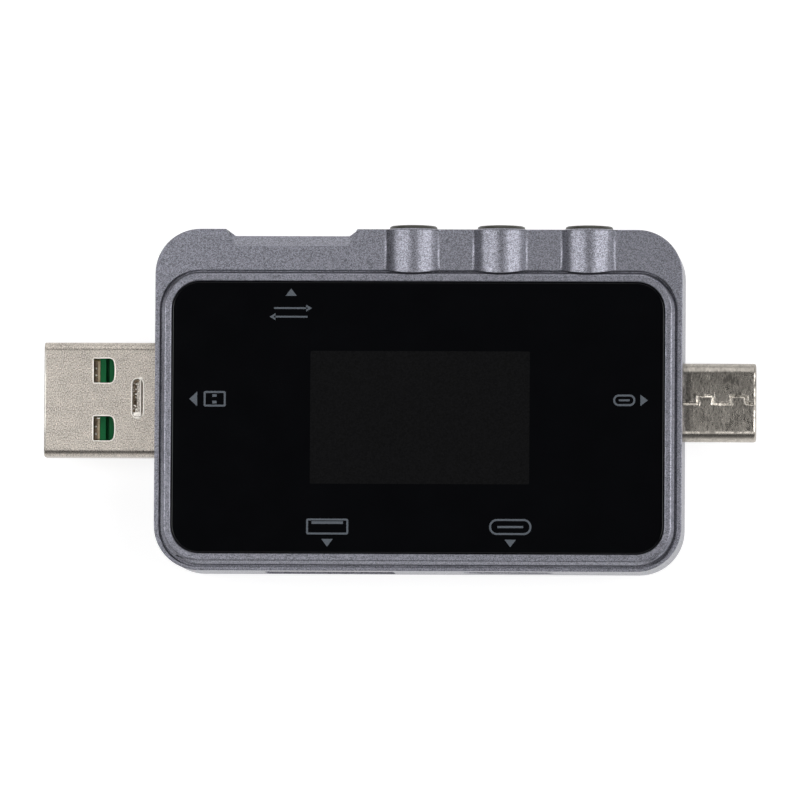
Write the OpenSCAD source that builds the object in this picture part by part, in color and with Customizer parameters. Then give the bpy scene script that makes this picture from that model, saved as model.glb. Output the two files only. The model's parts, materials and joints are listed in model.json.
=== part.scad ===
// USB power meter: a palm-sized in-line tester with two input plugs, two output sockets, a data port,
// a small screen behind a gloss panel and three push buttons.
// The meter lies on its back: +Z points out of the screen, +Y is the button edge, +X the USB-C plug end.
// The origin is the centre of the case's back face. Sizes are in millimetres.

/* [Case] */
// Width of the case, between the two plug ends
case_w = 55.1; // [54.9:0.1:56]
// Height of the case, between the output edge and the button edge
case_h = 35.7; // [35.4:0.1:36.5]
// Corner radius of the case outline
case_r = 4.7; // [4.4:0.1:5.2]
// Thickness of the case's side walls and back wall
wall = 1.2; // [1:0.1:1.3]
// Height at which the two halves of the case meet
parting_z = 5.8; // [5.4:0.1:5.8]
// Height of the flat shoulder on which the buttons' barrels lie
shoulder_z = 11.2; // [11:0.1:11.4]
// Height of the raised ring round the panel
ring_z = 12.2; // [12:0.1:12.4]
// Width of the raised ring
ring_w = 0.85; // [0.7:0.01:0.9]
// Width of the groove between the ring and the shoulder on the button side
groove_w = 0.34; // [0.3:0.02:0.4]
// Width of the narrow rail outside the groove on the other three sides
rail_w = 0.52; // [0.46:0.01:0.54]

/* [Screen] */
// Width of the gloss panel
panel_w = 51.4; // [50.8:0.1:51.5]
// Height of the gloss panel
panel_h = 28.35; // [28:0.05:28.45]
// Corner radius of the gloss panel
panel_r = 2.9; // [2.6:0.1:3.2]
// Thickness of the gloss panel
panel_t = 1; // [0.8:0.1:1.1]
// Panel centre, measured along Y from the case's centre
panel_y = -1.88; // [-1.92:0.01:-1.84]
// Width of the display module
lcd_w = 31; // [30:0.5:32]
// Height of the display module
lcd_h = 17.6; // [17:0.2:18]

/* [Buttons] */
// Distance between neighbouring buttons
button_pitch = 9.19; // [9:0.01:9.3]
// Middle button's place along X
button_x = 8.5; // [8.3:0.05:8.7]
// Diameter of a button's cap
button_d = 5; // [4.8:0.1:5.1]
// How far a cap stands above the barrel's end
button_proud = 0.45; // [0.35:0.01:0.6]
// Press travel of a button
button_travel = 0.25; // [0.15:0.01:0.3]
// Radius of the barrels over the buttons
barrel_r = 3.67; // [3.6:0.01:3.75]

/* [Plugs and sockets] */
// Length of the USB-A plug outside the case
usb_a_reach = 11.8; // [11.6:0.05:12.2]
// USB-A plug centre along Y
usb_a_plug_y = 0.1; // [-0.5:0.1:0.5]
// Length of the USB-C plug outside the case
usb_c_reach = 7.6; // [7.4:0.05:8]
// USB-C plug centre along Y
usb_c_plug_y = 0; // [-0.5:0.1:0.5]
// USB-A socket centre along X
usb_a_socket_x = -9.45; // [-9.8:0.05:-9]
// USB-C socket centre along X
usb_c_socket_x = 9.3; // [9:0.1:9.8]
// Data port centre along X
data_port_x = -13.3; // [-13.45:0.05:-12.7]

/* [Board] */
// Thickness of the circuit board
board_t = 1; // [0.8:0.1:1]
// Height of the circuit board's under side, which carries the connectors
board_z = 8.2; // [8.1:0.05:8.3]
// Screw places, measured from the case's centre along X
screw_x = 23; // [22.8:0.1:23.2]
// Screw places, measured from the case's centre along Y
screw_y = 13.3; // [13.1:0.1:13.4]

/* [Hidden] */
$fn = 64;
eps = 0.01;

// Case
fit = 0.05;                            // gap between pieces that are pushed together
back_chamfer = 0.6;
front_round = 0.1;                     // rounding of the case's front edge
rail_round = 0.05;                     // rounding of the rail's inner edge
rail_drop = 0.13;                      // the rail is this much narrower along the output edge
ceiling_z = 9.9;                       // inner face of the front wall
groove_z = 10.5;                       // floor of the groove round the ring
ring_round = 0.28;                     // rounding of the ring's outer edge
ring_lean = 0.15;                      // how far the ring's outer side leans out at the groove's floor
foot_out = 0.18;                       // how far the ring's sloped foot stands out at both ends
foot_down = 0.25;                      // and towards the output edge
foot_z = 11.6;                         // height at which that slope ends
pocket_round = 0.14;                   // rounding of the ring's inner edge
lip_t = 0.5;                           // lip of the back shell, inside the front shell
lip_h = 0.7;
boss_d = 4.2;
pocket_gap = 0.05;                     // gap round the panel in its pocket
panel_z = shoulder_z + 0.8 - panel_t;  // under side of the panel
adhesive_t = 0.1;
window_w = 33;                         // opening in the front wall for the display
window_top = 8.2;
window_bottom = -12.3;

// Recess over the data port: a trapezoid cut whose front edge is sloped back
recess_top_w = 13.7;
recess_floor_w = 11.9;
recess_depth = 0.65;
recess_slope_depth = 1.75;             // depth of the sloped floor where it meets the shoulder
recess_slope_z = 1.6;                  // height of the sloped floor
recess_step = 0.12;                    // small step where that floor leaves the shoulder

// Buttons
button_z = 8.73;                       // height of the buttons' axes
barrel_end_r = 11.4;                   // plan radius of the barrels' rounded lower ends
barrel_end_y = 13.25;                  // lowest point of those ends
barrel_fillet = 0.5;                   // hollow fillet between a barrel and the shoulder
collar_h = 0.12;                       // collar round each cap, above the button edge
collar_w = 0.1;                        // width of the collar's end face
collar_lean = 0.12;
cap_gap = 0.08;                        // gap round a cap
flange_t = 0.5;
flange_d = button_d + 1;
bore_d = flange_d + 0.4;               // inside of a barrel
bore_end_y = 14.1;
cap_top_y = case_h / 2 + collar_h + button_proud;
flange_y = case_h / 2 - wall - 0.1;    // outer face of a cap's flange at rest
button_xs = [button_x - button_pitch, button_x, button_x + button_pitch];

// Switches, set into notches in the board's edge
switch_w = 4.6;
switch_l = 3.4;
switch_h = 2.2;
switch_y = flange_y - flange_t - 0.8;  // front face of a switch body
plunger_w = 1.6;
plunger_h = 1;
plunger_in = 0.5;                      // length of the plunger inside the body at rest

// Plugs
usb_a_w = 12;
usb_a_h = 4.5;
usb_a_l = 18.7;
usb_a_wall = 0.3;
usb_a_r = 0.9;                         // rounding of the plug's long edges
usb_a_tip = -case_w / 2 - usb_a_reach;
usb_a_z = board_z - usb_a_h / 2;
usb_a_windows = [5.18, 7.38];          // start and end of the latch windows, from the tip
usb_a_window_y = 3.02;
usb_a_dent_x = 9.8;                    // middle of the oval dent in the plug's face, from the tip
usb_a_dent_y = 0.15;
usb_a_dent_w = 1.12;
usb_a_dent_l = 4.04;
usb_a_dent_depth = 0.18;
usb_c_w = 8.25;
usb_c_h = 2.4;
usb_c_l = 13.6;
usb_c_wall = 0.25;
usb_c_tip = case_w / 2 + usb_c_reach;
usb_c_z = board_z - usb_c_h / 2;

// Sockets
socket_setback = 0.2;                  // mouths lie this far inside the case's edge
usb_a_socket_w = 13.1;
usb_a_socket_h = 5.7;
usb_a_socket_l = 14;
usb_a_tongue_w = 11.1;
usb_a_tongue_t = 1.84;
port_w = 8.94;
port_h = 3.16;
port_l = 7.35;
port_wall = 0.3;
port_z = board_z - port_h / 2;
data_port_mouth = case_h / 2 - recess_depth - 0.1;
contact_t = 0.15;

// Board
board_w = 52;
board_h = 32.6;
board_top = board_z + board_t;
post_x = 24.2;                         // posts that hold the board, clear of the plugs
post_y = 8.6;

// Screws
screw_d = 1.6;
screw_head_d = 2.7;
screw_head_h = 1;
screw_head_z = 0.3;
screw_end_z = 9.4;

// Outline of a rounded rectangle centred on the origin, with true arcs at its corners
module rounded_rect(w, h, r) {
    square([w - 2 * r, h], center = true);
    square([w, h - 2 * r], center = true);
    for (sx = [-1, 1], sy = [-1, 1])
        translate([sx * (w / 2 - r), sy * (h / 2 - r)]) circle(r);
}

// Flat slab with a rounded outline, from height z0 to height z1
module slab(w, h, r, z0, z1) {
    translate([0, 0, z0]) linear_extrude(z1 - z0) rounded_rect(w, h, r);
}

// Slab whose edge follows a profile, listed upwards as (distance out from the outline, height)
module edged_slab(w, h, r, edge) {
    z0 = edge[0][1];
    z1 = edge[len(edge) - 1][1];
    profile = concat([[0, z0]], [for (p = edge) [r + p[0], p[1]]], [[0, z1]]);
    translate([-(w / 2 - r), -(h / 2 - r), z0]) cube([w - 2 * r, h - 2 * r, z1 - z0]);
    for (sx = [0, 1]) mirror([sx, 0, 0])
        translate([w / 2 - r, h / 2 - r, 0]) rotate([90, 0, 0])
            linear_extrude(h - 2 * r) polygon(profile);
    for (sy = [0, 1]) mirror([0, sy, 0])
        translate([-(w / 2 - r), h / 2 - r, 0]) rotate([90, 0, 90])
            linear_extrude(w - 2 * r) polygon(profile);
    for (sx = [0, 1], sy = [0, 1]) mirror([sx, 0, 0]) mirror([0, sy, 0])
        translate([w / 2 - r, h / 2 - r, 0]) rotate_extrude(angle = 90) polygon(profile);
}

// Profile of a rounded edge that ends at height z; turn = -1 rounds a slab, turn = 1 rounds a hollow's mouth
function round_edge(r, z, turn = -1) = [
    for (a = [0:22.5:90]) [turn * r * (1 - cos(a)), z - r * (1 - sin(a))]
];

// Bar with a rounded section, its length along X from x0 to x1, centred on (y, z)
module bar_x(w, h, r, x0, x1, y, z) {
    translate([x0, y, z]) rotate([90, 0, 90]) linear_extrude(x1 - x0) rounded_rect(w, h, r);
}

// The same bar with its length along Y from y0 to y1, centred on (x, z)
module bar_y(w, h, r, y0, y1, x, z) {
    translate([x, y1, z]) rotate([90, 0, 0]) linear_extrude(y1 - y0) rounded_rect(w, h, r);
}

// Box given by its corner and its far corner
module block(a, b) {
    translate(a) cube(b - a);
}

// Cylinder along Y from y0 to y1
module rod_y(r, y0, y1, x, z) {
    translate([x, y1, z]) rotate([90, 0, 0]) cylinder(r = r, h = y1 - y0);
}

// Copies at the four screw places, or at the board's four posts
module at_corners(x, y) {
    for (sx = [-1, 1], sy = [-1, 1]) translate([sx * x, sy * y, 0]) children();
}

// Holes in the case's edge for the plugs and the sockets
module edge_openings() {
    side = case_w / 2;
    edge = case_h / 2;
    bar_x(usb_a_w + 0.3, usb_a_h + 0.3, 0.75, -side - 1, -side + 3, usb_a_plug_y, usb_a_z);
    bar_x(usb_c_w + 0.3, usb_c_h + 0.3, 1.3, side - 3, side + 1, usb_c_plug_y, usb_c_z);
    bar_y(usb_a_socket_w + 0.4, usb_a_socket_h + 0.4, 0.5, -edge - 1, -edge + 3,
          usb_a_socket_x, board_z - usb_a_socket_h / 2);
    bar_y(port_w + 0.5, port_h + 0.5, 1.6, -edge - 1, -edge + 3, usb_c_socket_x, port_z);
    bar_y(port_w + 0.5, port_h + 0.5, 1.6, edge - 3, edge + 1, data_port_x, port_z);
}

// Trapezoid recess over the data port
module data_port_recess() {
    edge = case_h / 2;
    lean = (recess_top_w - recess_floor_w) / 2 / recess_depth;
    translate([data_port_x, edge, -1]) linear_extrude(shoulder_z + 2)
        recess_outline(recess_depth, lean);
    intersection() {
        translate([data_port_x, edge, -1]) linear_extrude(shoulder_z + 2)
            recess_outline(recess_slope_depth, lean * recess_depth / recess_slope_depth);
        translate([data_port_x - case_r * 2, edge, shoulder_z]) rotate([90, 0, 90])
            linear_extrude(case_r * 4)
                polygon([
                    [1, 1], [1, -recess_slope_z], [-recess_depth, -recess_slope_z],
                    [-recess_slope_depth, -recess_step], [-recess_slope_depth, 1]
                ]);
    }
}

module recess_outline(depth, lean) {
    half = recess_top_w / 2;
    polygon([
        [-half - lean, 1], [half + lean, 1], [half, 0], [half - lean * depth, -depth],
        [-half + lean * depth, -depth], [-half, 0]
    ]);
}

module back_shell() {
    floor_r = case_r - wall;
    lip_w = case_w - 2 * (wall - lip_t);
    lip_l = case_h - 2 * (wall - lip_t);
    color([0.46, 0.47, 0.5]) difference() {
        union() {
            difference() {
                edged_slab(case_w, case_h, case_r, [
                    [-back_chamfer, 0], [0, back_chamfer], [0, parting_z]
                ]);
                slab(case_w - 2 * wall, case_h - 2 * wall, floor_r, wall, parting_z + 1);
            }
            difference() {
                slab(lip_w - 2 * fit, lip_l - 2 * fit, floor_r + lip_t - fit, parting_z - eps,
                     parting_z + lip_h);
                slab(case_w - 2 * wall, case_h - 2 * wall, floor_r, parting_z - 1, parting_z + 1);
            }
            at_corners(screw_x, screw_y)
                translate([0, 0, wall - eps]) cylinder(d = boss_d, h = parting_z - wall + eps);
            at_corners(post_x, post_y)
                translate([0, 0, wall - eps]) cylinder(d = 1.8, h = board_z - wall + eps);
        }
        at_corners(screw_x, screw_y) {
            translate([0, 0, -1]) cylinder(d = screw_head_d + 0.4, h = 1 + screw_head_z + screw_head_h);
            cylinder(d = screw_d + 0.3, h = parting_z + 1);
        }
        button_bores();
        edge_openings();
        data_port_recess();
    }
}

// Room inside the case's edge for the caps and their flanges
module button_bores() {
    for (x = button_xs) {
        rod_y(bore_d / 2, bore_end_y, case_h / 2 - wall, x, button_z);
        rod_y(button_d / 2 + cap_gap, case_h / 2 - wall - 1, case_h / 2 + 1, x, button_z);
    }
}

// Rounded rib over one button, running from the button edge to the ring, with a collar round the cap
module barrel(x) {
    edge = case_h / 2;
    collar_r = button_d / 2 + cap_gap + collar_w;
    intersection() {
        union() {
            rod_y(barrel_r, barrel_end_y - 1, edge - front_round, x, button_z);
            translate([x, edge, button_z]) rotate([90, 0, 0])
                cylinder(r1 = barrel_r - front_round, r2 = barrel_r, h = front_round + eps);
            translate([x, edge - front_round, 0]) rotate([90, 0, 0])
                linear_extrude(edge - front_round - barrel_end_y + 1) barrel_foot();
        }
        translate([x, barrel_end_y + barrel_end_r, ceiling_z]) cylinder(r = barrel_end_r, h = 4);
    }
    translate([x, edge + collar_h, button_z]) rotate([90, 0, 0])
        cylinder(r1 = collar_r, r2 = collar_r + collar_lean, h = collar_h + eps);
}

// Section of the hollow fillets on both sides of a barrel
module barrel_foot() {
    centre_z = shoulder_z + barrel_fillet;
    foot_x = sqrt(pow(barrel_r + barrel_fillet, 2) - pow(centre_z - button_z, 2));
    touch = barrel_r / (barrel_r + barrel_fillet);
    touch_z = button_z + (centre_z - button_z) * touch;
    difference() {
        polygon([
            [-foot_x, shoulder_z - 0.5], [foot_x, shoulder_z - 0.5], [foot_x, shoulder_z],
            [foot_x * touch, touch_z], [-foot_x * touch, touch_z], [-foot_x, shoulder_z]
        ]);
        for (side = [-1, 1]) translate([side * foot_x, centre_z]) circle(barrel_fillet);
    }
}

module front_shell() {
    ring_h = panel_h + 2 * (ring_w + pocket_gap);
    ring_l = panel_w + 2 * (ring_w + pocket_gap);
    ring_r = panel_r + ring_w + pocket_gap;
    groove_top = panel_y + ring_h / 2 + groove_w;
    groove_bottom = rail_w - rail_drop - case_h / 2;
    color([0.49, 0.5, 0.53]) difference() {
        union() {
            difference() {
                edged_slab(case_w, case_h, case_r,
                           concat([[0, parting_z]], round_edge(front_round, shoulder_z)));
                translate([0, (groove_top + groove_bottom) / 2, 0])
                    edged_slab(case_w - 2 * rail_w, groove_top - groove_bottom, case_r - rail_w,
                               concat([[0, groove_z]], round_edge(rail_round, shoulder_z, 1),
                                      [[rail_round, shoulder_z + 1]]));
            }
            translate([0, panel_y, 0])
                edged_slab(ring_l, ring_h, ring_r,
                           concat([[ring_lean, groove_z - eps]], round_edge(ring_round, ring_z)));
            translate([0, panel_y - foot_down / 2, 0])
                edged_slab(ring_l + 2 * foot_out, ring_h + foot_down, ring_r + foot_out, [
                    [0, groove_z - eps], [0, foot_z], [-foot_out - 0.08, foot_z + 0.35]
                ]);
            for (x = button_xs) barrel(x);
        }
        translate([0, panel_y, 0])
            edged_slab(panel_w + 2 * pocket_gap, panel_h + 2 * pocket_gap, panel_r + pocket_gap,
                       concat([[0, panel_z - adhesive_t]], round_edge(pocket_round, ring_z, 1),
                              [[pocket_round, ring_z + 1]]));
        block([-window_w / 2, window_bottom, ceiling_z - 1], [window_w / 2, window_top, ring_z]);
        difference() {
            slab(case_w - 2 * wall, case_h - 2 * wall, case_r - wall, parting_z - 1, ceiling_z);
            at_corners(screw_x, screw_y)
                translate([0, 0, parting_z]) cylinder(d = boss_d, h = ceiling_z);
            at_corners(post_x, post_y)
                translate([0, 0, board_top]) cylinder(d = 1.8, h = ceiling_z);
        }
        slab(case_w - 2 * (wall - lip_t), case_h - 2 * (wall - lip_t), case_r - wall + lip_t,
             parting_z - 1, parting_z + lip_h + fit);
        at_corners(screw_x, screw_y)
            translate([0, 0, parting_z - 1])
                cylinder(d = screw_d + 0.1, h = screw_end_z + 0.2 - parting_z + 1);
        button_bores();
        edge_openings();
        data_port_recess();
    }
}

module case_screws() {
    color([0.2, 0.2, 0.21]) at_corners(screw_x, screw_y) difference() {
        union() {
            translate([0, 0, screw_head_z]) cylinder(d = screw_head_d, h = screw_head_h);
            translate([0, 0, screw_head_z]) cylinder(d = screw_d, h = screw_end_z - screw_head_z);
        }
        for (turn = [0, 90]) rotate([0, 0, turn])
            block([-0.75, -0.17, 0], [0.75, 0.17, screw_head_z + 0.6]);
    }
}

module screen_panel() {
    color([0.03, 0.03, 0.04]) translate([0, panel_y, 0])
        edged_slab(panel_w, panel_h, panel_r, [
            [0, panel_z], [0, panel_z + panel_t - 0.1], [-0.1, panel_z + panel_t]
        ]);
}

module panel_adhesive() {
    color([0.1, 0.1, 0.1]) difference() {
        translate([0, panel_y, 0])
            slab(panel_w - 1, panel_h - 1, panel_r - 0.5, panel_z - adhesive_t, panel_z);
        block([-window_w / 2 - 0.5, window_bottom - 0.5, 0], [window_w / 2 + 0.5, window_top + 0.5, 20]);
    }
}

module lcd_glass() {
    color([0.08, 0.08, 0.1])
        block([-lcd_w / 2, panel_y - lcd_h / 2, panel_z - 0.85],
              [lcd_w / 2, panel_y + lcd_h / 2, panel_z - 0.05]);
}

module lcd_backlight() {
    color([0.9, 0.9, 0.88])
        block([-lcd_w / 2 + 0.4, panel_y - lcd_h / 2 + 1.2, board_top + 0.05],
              [lcd_w / 2 - 0.4, panel_y + lcd_h / 2 - 0.4, panel_z - 0.85]);
}

// Flat cable from the display's lower ledge down to the board
module lcd_flex() {
    half = 4.5;
    thick = 0.12;
    ledge_y = panel_y - lcd_h / 2;
    drop_y = ledge_y - 0.7;
    ledge_z = panel_z - 0.85;
    color([0.75, 0.45, 0.12]) {
        block([-half, drop_y, ledge_z - thick], [half, ledge_y + 1, ledge_z]);
        block([-half, drop_y - thick, board_top + thick / 2], [half, drop_y, ledge_z]);
        block([-half, drop_y - 2.4, board_top], [half, drop_y, board_top + thick]);
    }
}

module circuit_board() {
    color([0.05, 0.2, 0.12]) difference() {
        slab(board_w, board_h, 1, board_z, board_top);
        for (sx = [-1, 1], sy = [-1, 1])
            translate([sx * board_w / 2, sy * board_h / 2, board_z + board_t / 2])
                cube([2 * (board_w / 2 - screw_x + boss_d / 2 + 0.25),
                      2 * (board_h / 2 - screw_y + boss_d / 2 + 0.25), board_t * 2], center = true);
        for (x = button_xs) {
            block([x - switch_w / 2 - 0.1, switch_y - switch_l - 0.1, board_z - 1],
                  [x + switch_w / 2 + 0.1, board_h, board_top + 1]);
            block([x - flange_d / 2 - 0.3, switch_y, board_z - 1],
                  [x + flange_d / 2 + 0.3, board_h, board_top + 1]);
        }
    }
}

// Latch window of the USB-A plug, its inner end bowed outwards
module usb_a_window() {
    length = usb_a_windows[1] - usb_a_windows[0];
    width = 2.56;
    bow_r = 11;
    intersection() {
        union() {
            rounded_rect(length, width, 0.42);
            translate([-length / 4, 0]) rounded_rect(length / 2, width, 0.15);
        }
        translate([length / 2 - bow_r, 0]) circle(bow_r);
    }
}

module usb_a_plug_shell() {
    window_x = (usb_a_windows[0] + usb_a_windows[1]) / 2;
    color([0.7, 0.67, 0.63]) difference() {
        bar_x(usb_a_w, usb_a_h, usb_a_r, usb_a_tip, usb_a_tip + usb_a_l, usb_a_plug_y, usb_a_z);
        bar_x(usb_a_w - 2 * usb_a_wall, usb_a_h - 2 * usb_a_wall, usb_a_r - usb_a_wall,
              usb_a_tip - 1, usb_a_tip + usb_a_l + 1, usb_a_plug_y, usb_a_z);
        for (side = [-1, 1])
            translate([usb_a_tip + window_x, usb_a_plug_y + side * usb_a_window_y, usb_a_z - usb_a_h])
                linear_extrude(usb_a_h * 2) usb_a_window();
        translate([usb_a_tip + usb_a_dent_x, usb_a_plug_y + usb_a_dent_y, board_z - usb_a_dent_depth])
            linear_extrude(1) rounded_rect(usb_a_dent_w, usb_a_dent_l, usb_a_dent_w / 2 - eps);
    }
}

module usb_a_plug_insulator() {
    top = board_z - usb_a_wall - fit;
    half = usb_a_w / 2 - usb_a_wall - fit;
    start = usb_a_tip + usb_a_windows[0];
    end = usb_a_tip + usb_a_l - 0.3;
    slab_t = 1.85;
    base_t = 3.8;
    edge_r = usb_a_r - usb_a_wall;
    color([0.06, 0.42, 0.24]) difference() {
        union() {
            bar_x(2 * half, slab_t, edge_r, usb_a_tip + 0.6, end, usb_a_plug_y, top - slab_t / 2);
            bar_x(2 * half, base_t, edge_r, usb_a_tip + 12.5, end, usb_a_plug_y, top - base_t / 2);
        }
        for (side = [-1, 1]) translate([start, usb_a_plug_y + side * usb_a_window_y, top]) {
            block([-0.2, -1.35, -3], [0.62, 1.35, 1]);
            block([0.6, -1.35, -0.45], [1.3, 1.35, 1]);
            block([1.25, -1.35, -1.3], [1.62, 1.35, 1]);
            block([1.6, -1.35, -0.3], [2.3, 1.35, 1]);
        }
    }
}

module usb_a_plug_contacts() {
    top = board_z - usb_a_wall - fit - 1.85;
    color([0.8, 0.68, 0.42]) for (pin = [[-3.1, 2.4], [-1, 0.9], [1, 0.9], [3.1, 2.4]])
        block([usb_a_tip + 1.2, usb_a_plug_y + pin[0] - pin[1] / 2, top - contact_t],
              [usb_a_tip + 12.5, usb_a_plug_y + pin[0] + pin[1] / 2, top]);
}

// Folded seam on the USB-C plug's face: straight runs joined by two dovetail tabs
module usb_c_seam() {
    line = 0.07;
    depth = 0.12;
    base_y = -0.18;
    tab_y = 0.6;
    mouth = -0.4;
    tabs = [[-6.05, -4.45], [-2.6, -1]];
    translate([usb_c_tip, usb_c_plug_y, board_z - depth]) {
        block([-usb_c_reach - 2, base_y, 0], [tabs[0][0], base_y + line, 1]);
        block([tabs[0][1], base_y, 0], [tabs[1][0], base_y + line, 1]);
        block([tabs[1][1], base_y, 0], [mouth, base_y + line, 1]);
        for (tab = tabs) {
            block([tab[0], tab_y, 0], [tab[1], tab_y + line, 1]);
            for (end = [0, 1]) translate([tab[end], base_y, 0]) mirror([end, 0, 0])
                linear_extrude(1) polygon([
                    [-0.05, 0], [0.4, 0], [0.05, tab_y - base_y + line], [-0.05, tab_y - base_y + line]
                ]);
        }
    }
}

module usb_c_plug_shell() {
    color([0.62, 0.6, 0.56]) difference() {
        bar_x(usb_c_w, usb_c_h, usb_c_h / 2 - 0.02, usb_c_tip - usb_c_l, usb_c_tip, usb_c_plug_y, usb_c_z);
        bar_x(usb_c_w - 2 * usb_c_wall, usb_c_h - 2 * usb_c_wall, usb_c_h / 2 - usb_c_wall - 0.02,
              usb_c_tip - usb_c_l - 1, usb_c_tip + 1, usb_c_plug_y, usb_c_z);
        usb_c_seam();
    }
}

module usb_c_plug_insulator() {
    w = usb_c_w - 2 * (usb_c_wall + fit);
    h = usb_c_h - 2 * (usb_c_wall + fit);
    color([0.1, 0.1, 0.11]) difference() {
        bar_x(w, h, h / 2 - 0.02, usb_c_tip - usb_c_l + 0.3, usb_c_tip - 0.3, usb_c_plug_y, usb_c_z);
        block([usb_c_tip - 6.5, usb_c_plug_y - 3.35, usb_c_z - 0.45],
              [usb_c_tip, usb_c_plug_y + 3.35, usb_c_z + 0.45]);
    }
}

// Twelve contacts in a row across, 0.5 mm apart, running from y0 to y1 at height z
module contact_row(y0, y1, z) {
    pitch = 0.5;
    for (i = [-5.5:5.5])
        block([i * pitch - 0.13, y0, z - 0.04], [i * pitch + 0.13, y1, z + 0.04]);
}

module usb_c_plug_contacts() {
    color([0.85, 0.7, 0.35]) translate([usb_c_tip, usb_c_plug_y, usb_c_z]) rotate([0, 0, -90])
        for (side = [-1, 1]) contact_row(-6.4, -1, side * 0.41);
}

module usb_a_socket_shell() {
    y0 = -case_h / 2 + socket_setback;
    z = board_z - usb_a_socket_h / 2;
    color([0.7, 0.7, 0.7]) difference() {
        bar_y(usb_a_socket_w, usb_a_socket_h, 0.4, y0, y0 + usb_a_socket_l, usb_a_socket_x, z);
        bar_y(usb_a_socket_w - 0.6, usb_a_socket_h - 0.6, 0.15, y0 - 1, y0 + usb_a_socket_l - 0.3,
              usb_a_socket_x, z);
    }
}

module usb_a_socket_tongue() {
    y0 = -case_h / 2 + socket_setback;
    bottom = board_z - usb_a_socket_h + 0.3;
    x = usb_a_socket_x;
    half = usb_a_socket_w / 2 - 0.3 - fit;
    color([0.06, 0.42, 0.24]) {
        block([x - half, y0 + 9.5, bottom + fit], [x + half, y0 + 13.6, board_z - 0.3 - fit]);
        block([x - usb_a_tongue_w / 2, y0 + 1, bottom + 0.55],
              [x + usb_a_tongue_w / 2, y0 + 9.6, bottom + 0.55 + usb_a_tongue_t]);
    }
}

module usb_a_socket_contacts() {
    y0 = -case_h / 2 + socket_setback;
    z = board_z - usb_a_socket_h + 0.85 + usb_a_tongue_t;
    color([0.85, 0.7, 0.35]) for (x = [-3.5, -1, 1, 3.5])
        block([usb_a_socket_x + x - 0.5, y0 + 1.6, z], [usb_a_socket_x + x + 0.5, y0 + 9.5, z + contact_t]);
}

// USB-C port with its mouth at the origin, facing -Y
module port_shell() {
    difference() {
        bar_y(port_w, port_h, port_h / 2 - 0.02, 0, port_l, 0, 0);
        bar_y(port_w - 2 * port_wall, port_h - 2 * port_wall, port_h / 2 - port_wall - 0.02,
              -1, port_l - port_wall, 0, 0);
    }
}

module port_tongue() {
    w = port_w - 2 * (port_wall + fit);
    h = port_h - 2 * (port_wall + fit);
    bar_y(w, h, h / 2 - 0.02, 5.3, port_l - port_wall - fit, 0, 0);
    block([-3.345, 0.7, -0.35], [3.345, 5.4, 0.35]);
}

module port_contacts() {
    for (side = [-1, 1]) contact_row(1.1, 5.3, side * 0.39);
}

module at_usb_c_socket() {
    translate([usb_c_socket_x, -case_h / 2 + socket_setback, port_z]) children();
}

module at_data_port() {
    translate([data_port_x, data_port_mouth, port_z]) rotate([0, 0, 180]) children();
}

module usb_c_socket_shell() color([0.7, 0.7, 0.7]) at_usb_c_socket() port_shell();
module usb_c_socket_tongue() color([0.1, 0.1, 0.11]) at_usb_c_socket() port_tongue();
module usb_c_socket_contacts() color([0.85, 0.7, 0.35]) at_usb_c_socket() port_contacts();
module data_port_shell() color([0.7, 0.7, 0.7]) at_data_port() port_shell();
module data_port_tongue() color([0.1, 0.1, 0.11]) at_data_port() port_tongue();
module data_port_contacts() color([0.85, 0.7, 0.35]) at_data_port() port_contacts();

// Button: a crowned cap with a flange that keeps it inside the case
module button(x) {
    crown_r = 22;
    color([0.22, 0.22, 0.2]) {
        intersection() {
            rod_y(button_d / 2, flange_y - eps, cap_top_y, x, button_z);
            translate([x, cap_top_y - crown_r, button_z]) sphere(r = crown_r, $fn = 128);
        }
        rod_y(flange_d / 2, flange_y - flange_t, flange_y, x, button_z);
    }
}

module switch_body(x) {
    color([0.12, 0.12, 0.13]) difference() {
        block([x - switch_w / 2, switch_y - switch_l, button_z - switch_h / 2],
              [x + switch_w / 2, switch_y, button_z + switch_h / 2]);
        block([x - plunger_w / 2 - 0.1, switch_y - plunger_in - button_travel - 0.15,
               button_z - plunger_h / 2 - 0.1],
              [x + plunger_w / 2 + 0.1, switch_y + 1, button_z + plunger_h / 2 + 0.1]);
    }
}

module switch_plunger(x) {
    color([0.85, 0.85, 0.82])
        block([x - plunger_w / 2, switch_y - plunger_in, button_z - plunger_h / 2],
              [x + plunger_w / 2, flange_y - flange_t, button_z + plunger_h / 2]);
}

module button_left() button(button_xs[0]);
module button_middle() button(button_xs[1]);
module button_right() button(button_xs[2]);
module switch_left_body() switch_body(button_xs[0]);
module switch_middle_body() switch_body(button_xs[1]);
module switch_right_body() switch_body(button_xs[2]);
module switch_left_plunger() switch_plunger(button_xs[0]);
module switch_middle_plunger() switch_plunger(button_xs[1]);
module switch_right_plunger() switch_plunger(button_xs[2]);

// Rectangular component on the board's under side, centred on (x, y)
module component(x, y, w, l, t) {
    block([x - w / 2, y - l / 2, board_z - t], [x + w / 2, y + l / 2, board_z]);
}

module microcontroller() color([0.1, 0.1, 0.1]) component(x = 0, y = 5, w = 7, l = 7, t = 1);
module metering_chip() color([0.1, 0.1, 0.1]) component(x = -9, y = 6, w = 4, l = 4, t = 0.9);
module shunt_resistor() color([0.25, 0.25, 0.25]) component(x = -13.5, y = 0.2, w = 6.3, l = 3.2, t = 0.8);
module crystal() color([0.75, 0.75, 0.72]) component(x = -5.6, y = 1.8, w = 3.2, l = 2.5, t = 0.7);

module voltage_regulator() {
    color([0.12, 0.12, 0.12]) {
        component(x = 16, y = -4.5, w = 6.5, l = 3.5, t = 1.6);
        component(x = 16, y = -1.9, w = 3, l = 1.8, t = 0.3);
    }
}

module power_transistors() {
    color([0.12, 0.12, 0.12]) for (x = [2.2, 8.6]) component(x, y = -3.6, w = 5, l = 6, t = 1);
}

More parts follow.
